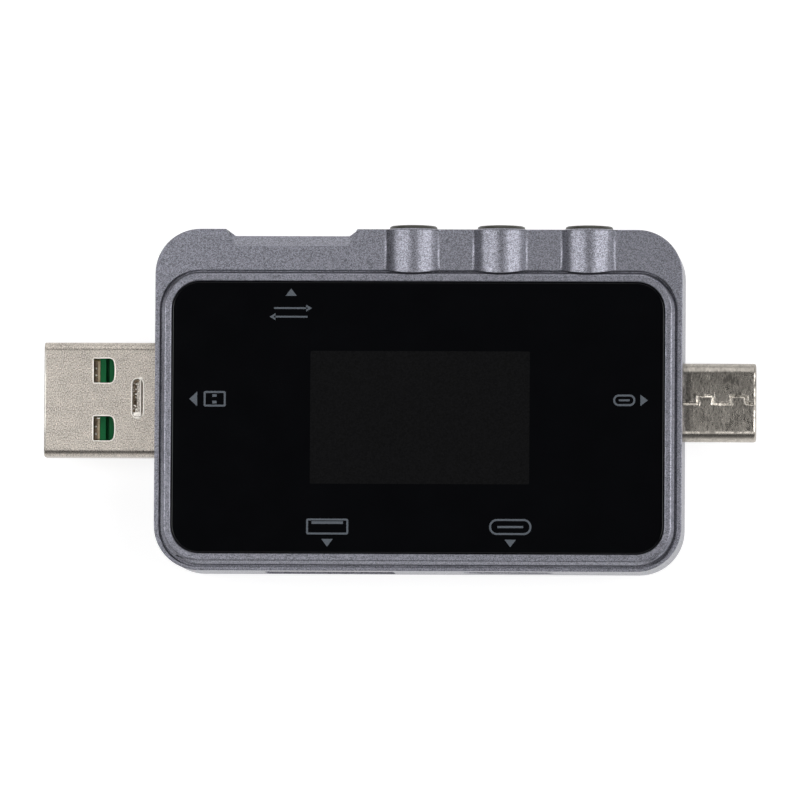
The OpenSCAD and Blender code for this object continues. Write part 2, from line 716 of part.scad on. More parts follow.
module inductor() {
    inductor_at = [11.5, 4.6];
    inductor_h = 3;
    color([0.3, 0.3, 0.3]) {
        component(inductor_at[0], inductor_at[1], w = 6.6, l = 6.6, t = 1);
        translate([inductor_at[0], inductor_at[1], board_z - inductor_h])
            cylinder(d = 6, h = inductor_h - 0.8);
    }
}

// Two rows of small capacitors and one pair of large ones
module chip_capacitors() {
    color([0.62, 0.5, 0.36]) {
        for (i = [0:3]) component(-0.6 + i * 2.2, y = -8.6, w = 1.2, l = 1.9, t = 0.9);
        for (i = [0:2]) component(x = 17.4, y = 1.2 + i * 2.4, w = 1.9, l = 1.2, t = 0.9);
        for (at = [[-19.2, 8.6], [16.6, -10.2]]) component(at[0], at[1], w = 2.5, l = 3.2, t = 1.8);
    }
}

module chip_resistors() {
    color([0.08, 0.08, 0.08]) for (i = [0:4])
        component(-18.4 + i * 1.7, y = -2.7, w = 0.8, l = 1.6, t = 0.45);
}

back_shell();
front_shell();
case_screws();
screen_panel();
panel_adhesive();
lcd_glass();
lcd_backlight();
lcd_flex();
circuit_board();
usb_a_plug_shell();
usb_a_plug_insulator();
usb_a_plug_contacts();
usb_c_plug_shell();
usb_c_plug_insulator();
usb_c_plug_contacts();
usb_a_socket_shell();
usb_a_socket_tongue();
usb_a_socket_contacts();
usb_c_socket_shell();
usb_c_socket_tongue();
usb_c_socket_contacts();
data_port_shell();
data_port_tongue();
data_port_contacts();
button_left();
button_middle();
button_right();
switch_left_body();
switch_middle_body();
switch_right_body();
switch_left_plunger();
switch_middle_plunger();
switch_right_plunger();
microcontroller();
metering_chip();
shunt_resistor();
voltage_regulator();
power_transistors();
inductor();
crystal();
chip_capacitors();
chip_resistors();
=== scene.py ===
"""Looks of the USB power meter: materials, softened edges, panel marks, studio and camera."""
import json
import math
import random

import bmesh
import bpy
from mathutils import Euler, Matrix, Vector

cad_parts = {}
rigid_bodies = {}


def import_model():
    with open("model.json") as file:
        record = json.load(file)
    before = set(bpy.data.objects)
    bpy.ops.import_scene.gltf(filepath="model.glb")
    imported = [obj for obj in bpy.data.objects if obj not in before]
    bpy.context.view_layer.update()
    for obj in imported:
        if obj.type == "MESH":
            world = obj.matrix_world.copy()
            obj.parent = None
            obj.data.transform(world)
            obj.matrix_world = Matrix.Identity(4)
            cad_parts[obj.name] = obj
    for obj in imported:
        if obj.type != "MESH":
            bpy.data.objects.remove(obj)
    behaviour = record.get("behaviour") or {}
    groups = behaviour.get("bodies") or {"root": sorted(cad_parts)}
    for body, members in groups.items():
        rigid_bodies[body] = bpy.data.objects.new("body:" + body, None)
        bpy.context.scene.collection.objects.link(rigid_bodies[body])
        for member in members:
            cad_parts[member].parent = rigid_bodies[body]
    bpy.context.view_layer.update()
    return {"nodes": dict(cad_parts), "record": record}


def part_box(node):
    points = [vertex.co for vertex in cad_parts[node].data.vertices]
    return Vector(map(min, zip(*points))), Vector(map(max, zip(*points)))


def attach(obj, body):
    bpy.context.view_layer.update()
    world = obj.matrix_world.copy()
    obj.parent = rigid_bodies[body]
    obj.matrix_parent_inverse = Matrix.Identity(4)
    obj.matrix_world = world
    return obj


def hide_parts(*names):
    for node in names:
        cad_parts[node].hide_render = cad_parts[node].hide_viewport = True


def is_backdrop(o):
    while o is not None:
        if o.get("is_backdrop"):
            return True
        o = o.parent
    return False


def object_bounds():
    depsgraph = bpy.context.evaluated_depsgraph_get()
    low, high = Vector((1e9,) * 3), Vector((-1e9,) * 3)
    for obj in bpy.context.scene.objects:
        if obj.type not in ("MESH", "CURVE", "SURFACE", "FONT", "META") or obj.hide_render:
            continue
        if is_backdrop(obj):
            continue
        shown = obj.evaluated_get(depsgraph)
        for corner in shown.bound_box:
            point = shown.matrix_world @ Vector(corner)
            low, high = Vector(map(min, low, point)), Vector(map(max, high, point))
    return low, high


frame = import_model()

MM = 0.001


# ---------------------------------------------------------------- material helpers

class Paint:
    """A material under construction: a Principled shader and node shortcuts, in millimetre coordinates."""

    def __init__(self, name, base, roughness, metallic=0.0, **sockets):
        self.mat = bpy.data.materials.new(name)
        self.mat.use_nodes = True
        self.nodes = self.mat.node_tree.nodes
        self.links = self.mat.node_tree.links
        self.bsdf = self.nodes["Principled BSDF"]
        self.bsdf.inputs["Base Color"].default_value = (*base, 1.0)
        self.bsdf.inputs["Roughness"].default_value = roughness
        self.bsdf.inputs["Metallic"].default_value = metallic
        for socket, value in sockets.items():
            self.bsdf.inputs[socket.replace("_", " ")].default_value = value
        coords = self.nodes.new("ShaderNodeTexCoord")
        self.place = self.stretched(coords.outputs["Object"], (1 / MM, 1 / MM, 1 / MM))

    def stretched(self, vector, factors):
        node = self.nodes.new("ShaderNodeVectorMath")
        node.operation = "MULTIPLY"
        self.links.new(vector, node.inputs[0])
        node.inputs[1].default_value = factors
        return node.outputs[0]

    def noise(self, per_mm, detail=2.0, roughness=0.5, stretch=(1, 1, 1)):
        node = self.nodes.new("ShaderNodeTexNoise")
        node.inputs["Scale"].default_value = per_mm
        node.inputs["Detail"].default_value = detail
        node.inputs["Roughness"].default_value = roughness
        self.links.new(self.stretched(self.place, stretch), node.inputs["Vector"])
        return node.outputs["Fac"]

    def cells(self, per_mm):
        """A random value for each small cell, as in metal flake."""
        node = self.nodes.new("ShaderNodeTexVoronoi")
        node.inputs["Scale"].default_value = per_mm
        self.links.new(self.place, node.inputs["Vector"])
        split = self.nodes.new("ShaderNodeSeparateColor")
        self.links.new(node.outputs["Color"], split.inputs[0])
        return split.outputs[0]

    def remap(self, value, low, high, to_low, to_high):
        node = self.nodes.new("ShaderNodeMapRange")
        for socket, number in zip(("From Min", "From Max", "To Min", "To Max"), (low, high, to_low, to_high)):
            node.inputs[socket].default_value = number
        self.links.new(value, node.inputs["Value"])
        return node.outputs["Result"]

    def combine(self, operation, a, b):
        node = self.nodes.new("ShaderNodeMath")
        node.operation = operation
        for socket, value in zip(node.inputs, (a, b)):
            if isinstance(value, (int, float)):
                socket.default_value = value
            else:
                self.links.new(value, socket)
        return node.outputs[0]

    def blend_colours(self, factor, first, second):
        """Drives the base colour from first to second."""
        node = self.nodes.new("ShaderNodeMix")
        node.data_type = "RGBA"
        self.links.new(factor, node.inputs["Factor"])
        node.inputs["A"].default_value = (*first, 1.0)
        node.inputs["B"].default_value = (*second, 1.0)
        self.links.new(node.outputs["Result"], self.bsdf.inputs["Base Color"])

    def vary_roughness(self, value):
        self.links.new(value, self.bsdf.inputs["Roughness"])

    def mix(self, first, second, share):
        """Weighted sum of two values: share of the second, the rest of the first."""
        return self.combine(
            "ADD", self.combine("MULTIPLY", first, 1 - share), self.combine("MULTIPLY", second, share))

    def bump(self, height, depth_mm):
        """Adds relief on top of any relief the material already has."""
        node = self.nodes.new("ShaderNodeBump")
        node.inputs["Strength"].default_value = 1.0
        node.inputs["Distance"].default_value = depth_mm * MM
        self.links.new(height, node.inputs["Height"])
        if self.bsdf.inputs["Normal"].is_linked:
            self.links.new(self.bsdf.inputs["Normal"].links[0].from_socket, node.inputs["Normal"])
        self.links.new(node.outputs["Normal"], self.bsdf.inputs["Normal"])


def scaled(colour, factor):
    return tuple(channel * factor for channel in colour)


# ---------------------------------------------------------------- materials

def case_paint():
    """Satin metallic paint: fine flake over a grey coat, with a slight orange peel."""
    grey = (0.222, 0.224, 0.26)
    paint = Paint("metallic_grey_paint", grey, 0.35, metallic=0.8)
    flake = paint.cells(13.0)
    grain = paint.noise(12.0, detail=2.0)
    mixed = paint.mix(flake, grain, 0.35)
    paint.blend_colours(paint.remap(mixed, 0.15, 0.9, 0.0, 1.0), scaled(grey, 0.42), scaled(grey, 1.75))
    paint.vary_roughness(paint.remap(flake, 0.0, 1.0, 0.4, 0.3))
    paint.bump(grain, 0.004)
    paint.bump(flake, 0.004)
    return paint.mat


def panel_gloss():
    """Black acrylic with a polished face and the faintest unevenness."""
    paint = Paint("gloss_black_acrylic", (0.0022, 0.0024, 0.003), 0.03)
    haze = paint.noise(0.25, detail=3.0)
    paint.blend_colours(haze, (0.0018, 0.0019, 0.0024), (0.0028, 0.003, 0.0038))
    paint.vary_roughness(paint.remap(haze, 0.3, 0.7, 0.025, 0.05))
    return paint.mat


def display_dark():
    """A switched-off display under the gloss panel, with its pixel grid just visible."""
    paint = Paint("display_off", (0.007, 0.007, 0.0075), 0.04)
    grid = paint.cells(7.0)
    paint.blend_colours(grid, (0.0055, 0.0055, 0.0058), (0.0082, 0.0082, 0.0088))
    return paint.mat


def panel_print():
    """Grey silk-screen ink under the panel's gloss."""
    ink = (0.115, 0.13, 0.15)
    paint = Paint("silk_screen_grey", ink, 0.12)
    grain = paint.noise(9.0, detail=3.0)
    paint.blend_colours(paint.remap(grain, 0.3, 0.7, 0.0, 1.0), scaled(ink, 0.8), scaled(ink, 1.15))
    return paint.mat


def stamped_steel(name, colour, roughness, streak=(1, 1, 1), grain=5.0, contrast=0.25, depth=0.004,
                  cloud=0.3, spread=0.2, painted_shade_slope=0.0):
    """Nickel-plated sheet: fine mottled grain, drawn out where streak isn't even, with some wider patches.

    A smaller spread gives sharper mottling. The last argument, for a plug's shell that lies along X, paints
    its flat face darker towards +Y as painted shade, and rougher, and makes the mottling fainter beyond that
    face.
    """
    paint = Paint(name, colour, roughness, metallic=1.0)
    relief = paint.noise(grain, detail=1.0, stretch=streak)
    mottle = paint.noise(grain, detail=3.0, roughness=0.6, stretch=streak)
    patch = paint.noise(0.8, detail=4.0, roughness=0.6)
    mixed = paint.mix(mottle, patch, cloud)
    if painted_shade_slope:
        face_half = 2.9
        split = paint.nodes.new("ShaderNodeSeparateXYZ")
        paint.links.new(paint.place, split.inputs[0])
        across = split.outputs["Y"]
        # painted shade: the face's colour darkens, and its roughness rises, towards +Y
        painted_shade_ramp = paint.remap(across, -face_half, face_half, -painted_shade_slope, painted_shade_slope)
        on_face = paint.remap(paint.combine("ABSOLUTE", across, 0), face_half, face_half + 0.4, 1.0, 0.3)
        mottle_and_painted_shade = paint.combine("SUBTRACT", paint.combine("SUBTRACT", mixed, 0.5), painted_shade_ramp)
        mixed = paint.combine("ADD", paint.combine("MULTIPLY", mottle_and_painted_shade, on_face), 0.5)
    low, high = 0.5 - spread, 0.5 + spread
    paint.blend_colours(
        paint.remap(mixed, low, high, 0.0, 1.0), scaled(colour, 1 - contrast), scaled(colour, 1 + contrast)
    )
    paint.vary_roughness(paint.remap(mixed, low, high, roughness + 0.1, roughness - 0.08))
    paint.bump(relief, depth)
    return paint.mat


def moulded(name, colour, roughness=0.42, contrast=0.12, grain=5.0, depth=0.004, specular=0.5):
    """Injection-moulded plastic with a fine spark-eroded texture."""
    paint = Paint(name, colour, roughness, Specular_IOR_Level=specular)
    texture = paint.noise(grain, detail=3.0)
    cloud = paint.noise(0.6, detail=2.0)
    mixed = paint.combine("MULTIPLY", paint.combine("ADD", texture, cloud), 0.5)
    paint.blend_colours(
        paint.remap(mixed, 0.35, 0.65, 0.0, 1.0), scaled(colour, 1 - contrast), scaled(colour, 1 + contrast)
    )
    paint.vary_roughness(paint.remap(texture, 0.3, 0.7, roughness - 0.06, roughness + 0.08))
    paint.bump(texture, depth)
    return paint.mat


def gold_contact():
    """Thin gold on a contact, worn in streaks."""
    gold = (0.85, 0.6, 0.27)
    paint = Paint("gold_flash", gold, 0.28, metallic=1.0)
    wear = paint.noise(3.0, detail=4.0, stretch=(1, 0.3, 1))
    paint.blend_colours(paint.remap(wear, 0.35, 0.7, 0.0, 1.0), scaled(gold, 0.8), (0.9, 0.72, 0.45))
    paint.vary_roughness(paint.remap(wear, 0.3, 0.7, 0.22, 0.4))
    return paint.mat


def display_glass():
    """Dark glass of the display module."""
    paint = Paint("display_glass", (0.02, 0.022, 0.028), 0.05)
    sheen = paint.noise(0.4, detail=2.0)
    paint.blend_colours(sheen, (0.015, 0.017, 0.022), (0.026, 0.028, 0.036))
    return paint.mat


materials = {
    "case_grey": case_paint(),
    "panel_black": panel_gloss(),
    "panel_print": panel_print(),
    "display_dark": display_dark(),
    "usb_a_steel": stamped_steel(
        "satin_nickel", (0.47, 0.43, 0.385), 0.34, streak=(1, 0.7, 1), grain=10.0, contrast=0.85, depth=0.012,
        cloud=0.12
    ),
    # Lighter steel: painted highlights on stamped edges, the dent, spring points and the USB-C seam.
    "painted_highlight_steel": stamped_steel("painted_highlight_nickel", (0.95, 0.91, 0.85), 0.42, contrast=0.08),
    # The USB-C shell's face gets painted shade, darker towards +Y.
    "usb_c_steel": stamped_steel(
        "drawn_nickel", (0.42, 0.39, 0.35), 0.27, streak=(1, 0.35, 1), grain=4.5, contrast=0.75, depth=0.003,
        cloud=0.4, spread=0.11, painted_shade_slope=0.035
    ),
    # Dark brown nickel: the springs' own tone darkened as painted shade, and painted shade on the dent's
    # floor and flank.
    "brown_nickel_painted_shade": stamped_steel("brown_nickel_painted_shade", (0.13, 0.1, 0.07), 0.35, contrast=0.5),
    # Lighter copy of the springs' brown: painted light on their edge strips.
    "painted_light_spring_edge": stamped_steel("painted_light_spring_edge", (0.34, 0.29, 0.2), 0.5, contrast=0.2),
    "socket_metal": stamped_steel("socket_nickel", (0.6, 0.58, 0.55), 0.3, contrast=0.15),
    "contact_metal": gold_contact(),
    "insulator_green": moulded("green_insulator", (0.003, 0.12, 0.035), 0.5, specular=0.15),
    "insulator_black": moulded("black_insulator", (0.012, 0.012, 0.014), 0.4),
    "button_dark": moulded("button_plastic", (0.04, 0.039, 0.03), 0.38),
    "screw_black": stamped_steel("black_zinc", (0.08, 0.08, 0.09), 0.35, contrast=0.2),
    "tape_black": moulded("foam_tape", (0.01, 0.01, 0.01), 0.8),
    "display_glass": display_glass(),
    "backlight_white": moulded("backlight_moulding", (0.75, 0.75, 0.72), 0.5, contrast=0.04),
    "flex_amber": moulded("polyimide", (0.4, 0.17, 0.025), 0.35),
    "board_green": moulded("solder_mask", (0.01, 0.07, 0.035), 0.35, contrast=0.25, grain=1.5),
    "chip_black": moulded("chip_epoxy", (0.014, 0.014, 0.015), 0.55),
    "ceramic_tan": moulded("fired_ceramic", (0.3, 0.19, 0.1), 0.5),
    "ferrite_grey": moulded("pressed_ferrite", (0.05, 0.05, 0.055), 0.6),
    "plunger_white": moulded("plunger_plastic", (0.66, 0.66, 0.62), 0.45, contrast=0.05),
}
slot_material = {"plug_metal": "usb_a_steel"}
node_material = {"usb_c_plug_shell": "usb_c_steel"}
for entry in frame["record"]["subparts"]:
    node, record_slot = entry["node"], entry["material_slot"]
    chosen = node_material.get(node) or slot_material.get(record_slot, record_slot)
    for slot in frame["nodes"][node].material_slots:
        slot.material = materials[chosen]


# ---------------------------------------------------------------- softened edges on the CAD pieces

def smooth_shading():
    """Modifier nodes that drop a mesh's stored normals and shade it smooth."""
    group = bpy.data.node_groups.new("smooth_shading", "GeometryNodeTree")
    for way in ("INPUT", "OUTPUT"):
        group.interface.new_socket("Geometry", in_out=way, socket_type="NodeSocketGeometry")
    steps = [group.nodes.new(kind) for kind in (
        "NodeGroupInput", "GeometryNodeRemoveAttribute", "GeometryNodeSetShadeSmooth", "NodeGroupOutput")]
    steps[1].inputs["Name"].default_value = "custom_normal"
    for step, following in zip(steps, steps[1:]):
        group.links.new(step.outputs[0], following.inputs[0])
    return group


shading = smooth_shading()


def soften(node, width_mm):
    """Rounds a CAD piece's sharp edges with modifiers alone; its own mesh stays as packed."""
    piece = frame["nodes"][node]
    piece.modifiers.new("shading", "NODES").node_group = shading
    weld = piece.modifiers.new("weld", "WELD")
    weld.merge_threshold = 0.0005 * MM
    flat = piece.modifiers.new("flat", "DECIMATE")
    flat.decimate_type = "DISSOLVE"
    flat.angle_limit = math.radians(0.5)
    bevel = piece.modifiers.new("bevel", "BEVEL")
    bevel.width = width_mm * MM
    bevel.segments = 2
    bevel.limit_method = "ANGLE"
    bevel.angle_limit = math.radians(30)
    bevel.use_clamp_overlap = False
    bevel.miter_outer = "MITER_ARC"
    even = piece.modifiers.new("even", "WEIGHTED_NORMAL")
    even.weight = 100


for node, width in (
    ("front_shell", 0.05), ("back_shell", 0.08), ("screen_panel", 0.03), ("case_screws", 0.06),
    ("usb_a_plug_shell", 0.1), ("usb_a_socket_shell", 0.08), ("usb_c_socket_shell", 0.08),
    ("data_port_shell", 0.08), ("usb_a_plug_insulator", 0.06), ("usb_c_plug_insulator", 0.05),
    ("usb_a_socket_tongue", 0.1), ("usb_c_socket_tongue", 0.08), ("data_port_tongue", 0.08),
    ("button_left", 0.22), ("button_middle", 0.22), ("button_right", 0.22),
    ("usb_a_plug_contacts", 0.04), ("usb_a_socket_contacts", 0.05),
):
    soften(node, width)


# ---------------------------------------------------------------- helpers for added pieces

def rounded_outline(width, height, radius, steps=10):
    """Corner points of a rounded rectangle about the origin, anticlockwise, in millimetres."""
    points = []
    for quarter in range(4):
        side_x = (1, -1, -1, 1)[quarter]
        side_y = (1, 1, -1, -1)[quarter]
        centre = (side_x * (width / 2 - radius), side_y * (height / 2 - radius))
        for step in range(steps + 1):
            turn = math.pi / 2 * (quarter + step / steps)
            points.append((centre[0] + radius * math.cos(turn), centre[1] + radius * math.sin(turn)))
    return points


def add_piece(name, builder, material, smooth=False):
    """Turns a bmesh into a piece that rides on the case."""
    bmesh.ops.recalc_face_normals(builder, faces=builder.faces)
    mesh = bpy.data.meshes.new(name)
    builder.to_mesh(mesh)
    builder.free()
    if smooth:
        mesh.shade_smooth()
    piece = bpy.data.objects.new(name, mesh)
    bpy.context.collection.objects.link(piece)
    mesh.materials.append(materials[material])
    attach(piece, "case")
    return piece


def ridge(builder, path, half_width, height, closed=True):
    """Low flat-topped ridge on a level face, along a path of (x, y, z) points in millimetres."""
    count = len(path)
    path = [Vector(p) for p in path]
    profile = ((-1, -0.25), (-0.75, 0.85), (-0.45, 1), (0.45, 1), (0.75, 0.85), (1, -0.25))
    rows = []
    for i, point in enumerate(path):
        ahead = path[(i + 1) % count] if closed or i + 1 < count else point
        behind = path[i - 1] if closed or i else point
        along = (ahead - behind).normalized()
        side = Vector((along.y, -along.x, 0))
        rows.append([builder.verts.new((point + side * half_width * a + Vector((0, 0, height * b))) * MM)
                     for a, b in profile])
    for i in range(count if closed else count - 1):
        first, second = rows[i], rows[(i + 1) % count]
        for k in range(len(profile)):
            m = (k + 1) % len(profile)
            builder.faces.new((first[k], first[m], second[m], second[k]))
    if not closed:
        builder.faces.new(rows[0])
        builder.faces.new(list(reversed(rows[-1])))


def box(builder, low, high):
    """Plain block between two corners in millimetres."""
    corners = [
        builder.verts.new(Vector((x, y, z)) * MM) for x in (low[0], high[0]) for y in (low[1], high[1])
        for z in (low[2], high[2])
    ]
    for face in ((0, 1, 3, 2), (4, 6, 7, 5), (0, 4, 5, 1), (2, 3, 7, 6), (0, 2, 6, 4), (1, 5, 7, 3)):
        builder.faces.new([corners[i] for i in face])


def dome(builder, centre, radii, steps=6, sides=14):
    """Upper half of an ellipsoid, in millimetres."""
    top = builder.verts.new(Vector((centre[0], centre[1], centre[2] + radii[2])) * MM)
    rings = []
    for step in range(1, steps + 1):
        tilt = math.pi / 2 * step / steps
        rings.append([
            builder.verts.new(Vector((
                centre[0] + radii[0] * math.sin(tilt) * math.cos(2 * math.pi * k / sides),
                centre[1] + radii[1] * math.sin(tilt) * math.sin(2 * math.pi * k / sides),
                centre[2] + radii[2] * math.cos(tilt),
            )) * MM) for k in range(sides)
        ])
    for k in range(sides):
        m = (k + 1) % sides
        builder.faces.new((top, rings[0][k], rings[0][m]))
        for inner, outer in zip(rings, rings[1:]):
            builder.faces.new((inner[k], outer[k], outer[m], inner[m]))
    builder.faces.new(list(reversed(rings[-1])))


def smooth_noise(seed, cell):
    """Smooth value noise over a plane, from -1 to 1, with its own seed."""
    source = random.Random(seed)
    table = [[source.uniform(-1, 1) for _ in range(64)] for _ in range(64)]

    def value(x, y):
        x, y = x / cell, y / cell
        i, j = math.floor(x), math.floor(y)
        u, v = x - i, y - j
        u, v = u * u * (3 - 2 * u), v * v * (3 - 2 * v)
        a, b = table[i % 64][j % 64], table[(i + 1) % 64][j % 64]
        c, d = table[i % 64][(j + 1) % 64], table[(i + 1) % 64][(j + 1) % 64]
        return (a * (1 - u) + b * u) * (1 - v) + (c * (1 - u) + d * u) * v

    return value


# ---------------------------------------------------------------- USB-A plug details

plug_low, plug_high = (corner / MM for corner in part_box("usb_a_plug_shell"))
plug_tip, plug_top = plug_low.x, plug_high.z
plug_y = (plug_low.y + plug_high.y) / 2
dent_place = (plug_tip + 9.8, plug_y + 0.15)
window_start, window_end, window_half, window_offset = 5.18, 7.38, 1.28, 3.02


def stamped_edges():
    """Thrown-up edges left by stamping, in lighter steel as painted highlights: round the dent, round both
    latch windows and along the mouth.
    """
    builder = bmesh.new()
    x, y = dent_place
    ridge(builder, [(x + px, y + py, plug_top) for px, py in rounded_outline(1.26, 4.18, 0.62)], 0.065, 0.03)
    # two low bumps at the dent's ends, lighter as painted highlights
    dome(builder, (x + 0.33, y + 2.05, plug_top - 0.02), (0.24, 0.2, 0.07))
    dome(builder, (x - 0.05, y - 2.06, plug_top - 0.02), (0.3, 0.13, 0.06))
    start, end, half = window_start, window_end, window_half
    for side in (1, -1):
        outline = [(start + 0.03, -half - 0.04), (start - 0.07, -half + 0.1), (start - 0.07, half - 0.1),
                   (start + 0.03, half + 0.05), (end - 0.5, half + 0.06), (end - 0.2, half - 0.06),
                   (end - 0.03, half - 0.33), (end + 0.04, 0.5), (end + 0.06, 0), (end + 0.04, -0.5),
                   (end - 0.03, -half + 0.33), (end - 0.2, -half + 0.06), (end - 0.5, -half - 0.06)]
        window_y = plug_y + side * window_offset
        ridge(builder, [(plug_tip + px, window_y - py, plug_top) for px, py in outline], 0.07, 0.025)
    mouth = [(plug_tip + 0.12, plug_y + t, plug_top) for t in (-5.05, -2.5, 0, 2.5, 5.05)]
    ridge(builder, mouth, 0.06, 0.02, closed=False)
    add_piece("usb_a_stamped_edges", builder, "painted_highlight_steel", smooth=True)


def dent_relief():
    """Floor of the stamped dent: a rough ridge with a crest along its right side; floor and left flank dark
    as painted shade, crest, torn end and flecks as painted highlights.
    """
    relief_and_glint_noise = smooth_noise(11, 0.13)
    half, reach = 0.53, 1.99
    ridge_left, ridge_right, flank_end = -0.44, 0.4, -0.1
    torn_end, notch_start, notch_right = -1.5, 1.62, 0.12

    def height(x, y):
        if x < ridge_left or x > ridge_right or (y > notch_start and x < notch_right) or abs(y) > 1.85:
            return -0.165
        if y < torn_end:
            return -0.02 + 0.02 * relief_and_glint_noise(x, y)
        if x < flank_end:
            return -0.15 + 0.12 * (x - ridge_left) / (flank_end - ridge_left) + 0.09 * relief_and_glint_noise(x, y)
        return -0.03 + (0.03 if 0.26 < x < 0.36 else 0.004 * relief_and_glint_noise(x, y))

    builder = bmesh.new()
    columns, rows = 30, 84
    tops, floor_z = [], plug_top - 0.178
    for j in range(rows + 1):
        y = -reach + 2 * reach * j / rows
        over = max(0.0, abs(y) - (reach - half))
        width = math.sqrt(max(half * half - over * over, 0.0004))
        tops.append([(width * (2 * i / columns - 1), y) for i in range(columns + 1)])
    upper = [[builder.verts.new(Vector((dent_place[0] + x, dent_place[1] + y, plug_top + height(x, y))) * MM)
              for x, y in row] for row in tops]
    lower = [[builder.verts.new(Vector((dent_place[0] + x, dent_place[1] + y, floor_z)) * MM)
              for x, y in (row[0], row[-1])] for row in tops]
    for j in range(rows):
        for i in range(columns):
            face = builder.faces.new((upper[j][i], upper[j][i + 1], upper[j + 1][i + 1], upper[j + 1][i]))
            x, y = tops[j][i]
            on_ridge = ridge_left < x < ridge_right and (y < notch_start or x > notch_right)
            crest = 0.22 < x < 0.37
            # painted highlights (lighter steel) on the crest, the torn end and flecks on the flank; painted
            # shade (dark brown) on the floor and left flank
            if on_ridge and (crest or y < torn_end or (x < flank_end and relief_and_glint_noise(x + 5, y) > 0.45)):
                face.material_index = 2
            elif on_ridge and x > flank_end:
                face.material_index = 1
        builder.faces.new((lower[j][0], upper[j][0], upper[j + 1][0], lower[j + 1][0]))
        builder.faces.new((upper[j][-1], lower[j][1], lower[j + 1][1], upper[j + 1][-1]))
        builder.faces.new((lower[j][0], lower[j + 1][0], lower[j + 1][1], lower[j][1]))
    for j in (0, rows):
        builder.faces.new([lower[j][0], lower[j][1]] + list(reversed(upper[j])))
    relief = add_piece("usb_a_dent_relief", builder, "brown_nickel_painted_shade")
    relief.data.materials.append(materials["usb_a_steel"])
    relief.data.materials.append(materials["painted_highlight_steel"])


def window_springs():
    """Contact springs seen through the latch windows: brown darkened as painted shade, a lighter edge strip
    as painted light and two embossed points in lighter steel as painted highlights.
    """
    springs, edges, points = bmesh.new(), bmesh.new(), bmesh.new()
    x0 = plug_tip + window_start
    z = plug_top - 0.75
    for side, offsets in ((1, (0.26, -0.46)), (-1, (0.2, -0.56))):
        y = plug_y + side * window_offset
        box(springs, (x0 - 0.15, y - 1.2, z - 0.12), (x0 + 0.4, y + 1.05, z))
        box(edges, (x0 + 0.4, y - 1.1, z - 0.1), (x0 + 0.62, y + 0.92, z + 0.05))
        for offset in offsets:
            # embossed points in lighter steel: painted highlights
            dome(points, (x0 + 0.2, y + offset, z - 0.02), (0.13, 0.13, 0.16))
    add_piece("usb_a_window_springs", springs, "brown_nickel_painted_shade")
    add_piece("usb_a_spring_edges", edges, "painted_light_spring_edge")
    add_piece("usb_a_spring_points", points, "painted_highlight_steel", smooth=True)


stamped_edges()
dent_relief()
window_springs()


# ---------------------------------------------------------------- USB-C plug shell

def distance_to_path(x, y, path):
    """Shortest distance from a point to a chain of straight lines."""
    best = math.inf
    for (ax, ay), (bx, by) in zip(path, path[1:]):
        dx, dy = bx - ax, by - ay
        t = max(0.0, min(1.0, ((x - ax) * dx + (y - ay) * dy) / (dx * dx + dy * dy)))
        best = min(best, math.hypot(x - ax - t * dx, y - ay - t * dy))
    return best


